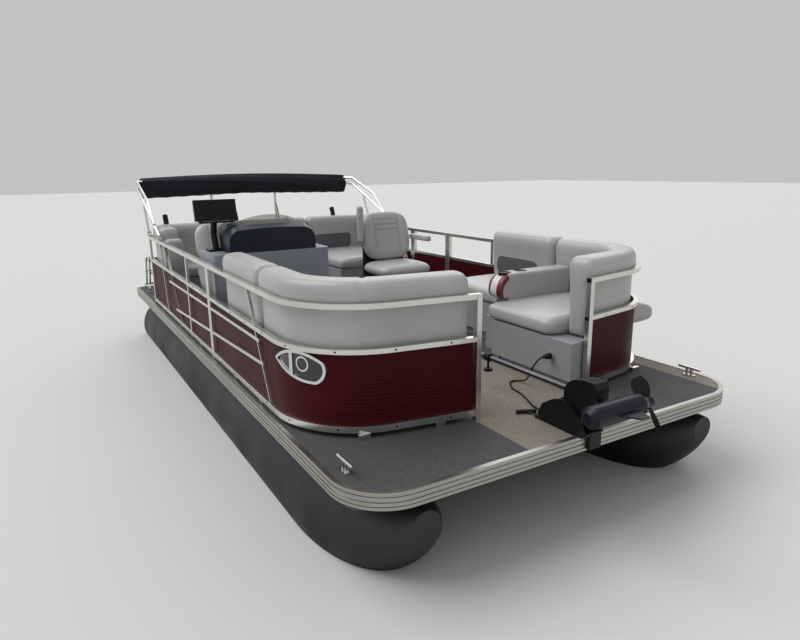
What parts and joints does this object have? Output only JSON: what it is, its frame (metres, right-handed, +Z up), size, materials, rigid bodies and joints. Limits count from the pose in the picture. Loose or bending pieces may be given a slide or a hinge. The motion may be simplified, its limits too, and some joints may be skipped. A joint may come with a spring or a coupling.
{
  "type": "pontoon boat",
  "caption": "Two-tube pontoon boat with a railed deck, lounges, helm console, folded canopy, tilting outboard and stowed bow motor.",
  "frame": {"origin": "middle of the overall length and beam, at the bottom of the two keels that the boat parks on", "axes": "+X toward the bow, +Y to port, +Z up; the boat lies afloat with its waterline 230 mm above the origin"},
  "size_m": [7.196, 2.59, 2.0248],
  "materials": {
    "tube_aluminium": "weathered",
    "frame_aluminium": "mill",
    "rail_aluminium": "satin anodised",
    "deck_covering": "textured sheet",
    "panel_paint": "fine ribs, gloss",
    "lamp_bezel": "polished",
    "lamp_lens": "dark, smooth",
    "moulded_base": "moulded",
    "armrest_moulding": "moulded",
    "seat_vinyl": "grained vinyl",
    "hood_paint": "gloss",
    "smoked_screen": "smoked",
    "black_plastic": "moulded",
    "wheel_grip": "soft grip",
    "arm_vinyl": "grained vinyl",
    "boot_canvas": "woven",
    "motor_paint": "gloss",
    "motor_cowl": "gloss",
    "engine_block": "cast",
    "propeller_metal": "painted",
    "bow_motor_black": "satin",
    "bow_motor_plastic": "moulded",
    "shaft_steel": "bright",
    "bow_propeller": "moulded",
    "lead_jacket": "matt",
    "plug_plastic": "moulded"
  },
  "bodies": {
    "hull": {"pontoon_starboard": "tube_aluminium", "pontoon_port": "tube_aluminium", "cross_members": "frame_aluminium", "deck_board": "deck_covering", "deck_trim": "rail_aluminium", "motor_mount": "frame_aluminium", "fence_starboard": "rail_aluminium", "fence_port": "rail_aluminium", "fence_stern": "rail_aluminium", "fence_aft_starboard": "rail_aluminium", "fence_aft_port": "rail_aluminium", "panel_starboard": "panel_paint", "panel_port": "panel_paint", "panel_stern": "panel_paint", "docking_lights": "lamp_bezel", "docking_lenses": "lamp_lens", "lounge_starboard_base": "moulded_base", "lounge_starboard_cushions": "seat_vinyl", "lounge_port_base": "moulded_base", "lounge_port_cushions": "seat_vinyl", "lounge_port_armrest": "armrest_moulding", "lounge_stern_base": "moulded_base", "lounge_stern_cushions": "seat_vinyl", "console_base": "moulded_base", "console_hood": "hood_paint", "windscreen": "smoked_screen", "fish_finder": "black_plastic", "chair_posts": "rail_aluminium", "tow_hoop": "rail_aluminium", "rod_holders": "black_plastic", "fittings": "rail_aluminium", "outboard_bracket": "motor_paint", "bow_motor_mount": "bow_motor_black", "bow_motor_lead": "lead_jacket", "power_plug": "plug_plastic"},
    "side_gate": {"gate_frame": "rail_aluminium", "gate_panel": "panel_paint"},
    "ladder_top": {"ladder_upper": "rail_aluminium"},
    "ladder_foot": {"ladder_lower": "rail_aluminium"},
    "canopy": {"canopy_bows": "rail_aluminium", "canopy_boot": "boot_canvas"},
    "canopy_strut_pair": {"canopy_struts": "rail_aluminium"},
    "outboard_cradle": {"outboard_swivel": "motor_paint"},
    "outboard_power_head": {"outboard_drive": "motor_paint", "outboard_cowl": "motor_cowl", "outboard_engine": "engine_block"},
    "outboard_screw": {"outboard_propeller": "propeller_metal"},
    "steering_wheel": {"helm_wheel": "wheel_grip"},
    "helm_chair": {"helm_chair_shell": "black_plastic", "helm_chair_cushions": "seat_vinyl"},
    "captain_chair": {"captain_chair_shell": "black_plastic", "captain_chair_cushions": "seat_vinyl"},
    "captain_armrest_port": {"captain_arm_port": "arm_vinyl"},
    "captain_armrest_starboard": {"captain_arm_starboard": "arm_vinyl"},
    "bow_motor_cradle": {"bow_motor_carriage": "bow_motor_black"},
    "bow_motor_slider": {"bow_motor_head": "bow_motor_plastic", "bow_motor_shaft": "shaft_steel"},
    "bow_motor_turning": {"bow_motor_pod": "bow_motor_black"},
    "bow_motor_screw": {"bow_motor_propeller": "bow_propeller"}
  },
  "joints": [
    {"name": "side_gate_hinge", "type": "hinge", "parent": "hull", "child": "side_gate", "pos_m": [-0.363, 1.222, 1.1], "axis": [0, 0, -1], "range_deg": [0, 90]},
    {"name": "ladder_hinge", "type": "hinge", "parent": "hull", "child": "ladder_top", "pos_m": [-2.389, -1.01, 0.784], "axis": [0, -1, 0], "range_deg": [0, 200]},
    {"name": "ladder_fold", "type": "hinge", "parent": "ladder_top", "child": "ladder_foot", "pos_m": [-2.23931, -1.01, 1.11179], "axis": [0, -1, 0], "range_deg": [0, 180]},
    {"name": "canopy_swing", "type": "hinge", "parent": "hull", "child": "canopy", "pos_m": [-0.81696, 0, 1.482], "axis": [0, 1, 0], "range_deg": [0, 65]},
    {"name": "canopy_strut_swing", "type": "hinge", "parent": "canopy", "child": "canopy_strut_pair", "pos_m": [-1.50705, 0, 1.738], "axis": [0, -1, 0], "range_deg": [0, 32]},
    {"name": "outboard_tilt", "type": "hinge", "parent": "hull", "child": "outboard_cradle", "pos_m": [-2.727, 0, 0.74], "axis": [0, 1, 0], "range_deg": [-60, 0]},
    {"name": "outboard_steering", "type": "hinge", "parent": "outboard_cradle", "child": "outboard_power_head", "pos_m": [-2.787, 0, 0.84392], "axis": [0.866, 0, 0.5], "range_deg": [-30, 30]},
    {"name": "outboard_propeller_spin", "type": "hinge", "parent": "outboard_power_head", "child": "outboard_screw", "pos_m": [-3.5055, 0, 0.75241], "axis": [-0.5, 0, 0.866], "continuous": true},
    {"name": "helm_wheel_turn", "type": "hinge", "parent": "hull", "child": "steering_wheel", "pos_m": [0.348, -0.76, 1.46], "axis": [-0.866, 0, 0.5], "range_deg": [-360, 360]},
    {"name": "helm_chair_swivel", "type": "hinge", "parent": "hull", "child": "helm_chair", "pos_m": [-0.197, -0.78, 1.052], "axis": [0, 0, 1], "continuous": true},
    {"name": "captain_chair_swivel", "type": "hinge", "parent": "hull", "child": "captain_chair", "pos_m": [0.533, 0.5, 1.052], "axis": [0, 0, 1], "continuous": true},
    {"name": "captain_arm_port_lift", "type": "hinge", "parent": "captain_chair", "child": "captain_armrest_port", "pos_m": [0.353, 0.766, 1.45], "axis": [0, -1, 0], "range_deg": [0, 88]},
    {"name": "captain_arm_starboard_lower", "type": "hinge", "parent": "captain_chair", "child": "captain_armrest_starboard", "pos_m": [0.353, 0.234, 1.45], "axis": [0, 1, 0], "range_deg": [0, 90]},
    {"name": "bow_motor_deploy", "type": "hinge", "parent": "hull", "child": "bow_motor_cradle", "pos_m": [3.243, -0.015, 0.82], "axis": [0, 1, 0], "range_deg": [0, 90]},
    {"name": "bow_motor_slide", "type": "slide", "parent": "bow_motor_cradle", "child": "bow_motor_slider", "axis": [1, 0, 0], "range_m": [0, 0.613]},
    {"name": "bow_motor_steer", "type": "hinge", "parent": "bow_motor_slider", "child": "bow_motor_turning", "pos_m": [3.406, -0.015, 0.96], "axis": [1, 0, 0], "range_deg": [-180, 180]},
    {"name": "bow_motor_propeller_spin", "type": "hinge", "parent": "bow_motor_turning", "child": "bow_motor_screw", "pos_m": [3.468, 0.16, 0.96], "axis": [0, 1, 0], "continuous": true}
  ],
  "couplings": [
    {"joint": "bow_motor_slide", "follows": "bow_motor_deploy", "m_per_rad": 0.39},
    {"joint": "helm_wheel_turn", "follows": "outboard_steering", "ratio": -12}
  ]
}
